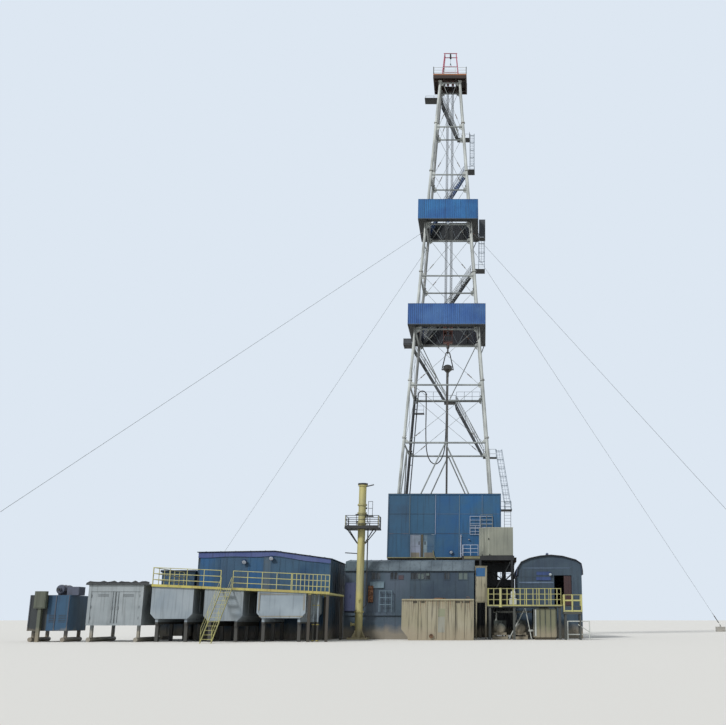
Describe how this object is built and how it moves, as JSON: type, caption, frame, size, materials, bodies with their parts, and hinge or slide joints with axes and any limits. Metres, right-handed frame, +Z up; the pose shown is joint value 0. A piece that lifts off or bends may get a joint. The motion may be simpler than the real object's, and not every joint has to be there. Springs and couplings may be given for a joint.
{
  "type": "oil drilling rig, scale model at 1:2",
  "caption": "Land drilling rig at half size: guyed tubular derrick with hoisting gear, enclosed drill floor, mud tanks, pump and shelter units.",
  "frame": {"origin": "on the ground under the middle of the derrick, which is the middle of the overall box", "axes": "+X to the right and +Y to the back as the rig is seen from the front, +Z up"},
  "size_m": [36.86, 39.46, 32.25],
  "materials": {
    "leg_paint": "weathered paint",
    "lattice_steel": "weathered paint",
    "dark_steel": "dark weathered paint",
    "guard_blue": "weathered paint",
    "block_red": "rust red paint",
    "crown_brown": "dark brown paint",
    "gantry_red": "red paint",
    "rope_steel": "greased wire rope",
    "hose_rubber": "matt",
    "wall_blue": "faded paint",
    "door_pale": "pale paint",
    "cabin_beige": "dusty paint",
    "safety_yellow": "chipped yellow paint",
    "slate_paint": "weathered paint",
    "tank_grey": "dusty paint",
    "rusty_beige": "rust-streaked paint",
    "concrete": "rough concrete"
  },
  "bodies": {
    "root": {"leg_front_left": "leg_paint", "leg_front_right": "leg_paint", "leg_rear_left": "leg_paint", "leg_rear_right": "leg_paint", "portal_braces": "lattice_steel", "lattice_front": "lattice_steel", "lattice_rear": "lattice_steel", "lattice_left": "lattice_steel", "lattice_right": "lattice_steel", "lower_board": "dark_steel", "lower_wind_guard": "guard_blue", "upper_board": "dark_steel", "upper_wind_guard": "guard_blue", "crown_deck": "crown_brown", "crown_railing": "dark_steel", "crown_block": "block_red", "crown_sheaves": "block_red", "crown_gantry": "gantry_red", "rear_walkway": "dark_steel", "stair_flight_1": "dark_steel", "stair_flight_2": "dark_steel", "stair_flight_3": "dark_steel", "stair_flight_4": "guard_blue", "stair_flight_5": "guard_blue", "stair_landings": "dark_steel", "derrick_ladders": "dark_steel", "standpipe": "dark_steel", "hoisting_lines": "rope_steel", "rotary_hose": "hose_rubber", "drill_floor": "dark_steel", "rotary_table": "dark_steel", "substructure": "dark_steel", "wind_walls": "wall_blue", "door_hinges": "dark_steel", "floor_stair": "safety_yellow", "balcony": "cabin_beige", "control_cabin": "cabin_beige", "pump_house": "slate_paint", "pump_house_roof": "slate_paint", "shelter": "slate_paint", "shelter_roof": "slate_paint", "right_platform": "safety_yellow", "right_platform_units": "rusty_beige", "water_tank": "rusty_beige", "switch_cabinet": "rusty_beige", "shaker_house": "wall_blue", "mud_tanks": "tank_grey", "tank_deck": "safety_yellow", "tank_stair": "safety_yellow", "separator_column": "safety_yellow", "left_units": "tank_grey", "guy_lines": "rope_steel", "guy_anchors": "concrete"},
    "block": {"travelling_block": "block_red", "block_sheaves": "block_red", "hook_and_bail": "dark_steel", "swivel": "dark_steel", "kelly": "dark_steel"},
    "door_left": {"front_door_left": "door_pale"},
    "door_right": {"front_door_right": "door_pale"}
  },
  "joints": [
    {"name": "block_hoist", "type": "slide", "parent": "root", "child": "block", "axis": [0, 0, 1], "range_m": [0, 7], "deforming": ["hoisting_lines", "rotary_hose"]},
    {"name": "left_door_swing", "type": "hinge", "parent": "root", "child": "door_left", "pos_m": [-1.597, -2.946, 4.1], "axis": [0, 0, 1], "range_deg": [0, 100]},
    {"name": "right_door_swing", "type": "hinge", "parent": "root", "child": "door_right", "pos_m": [-0.41, -2.946, 4.1], "axis": [0, 0, 1], "range_deg": [-100, 0]}
  ]
}
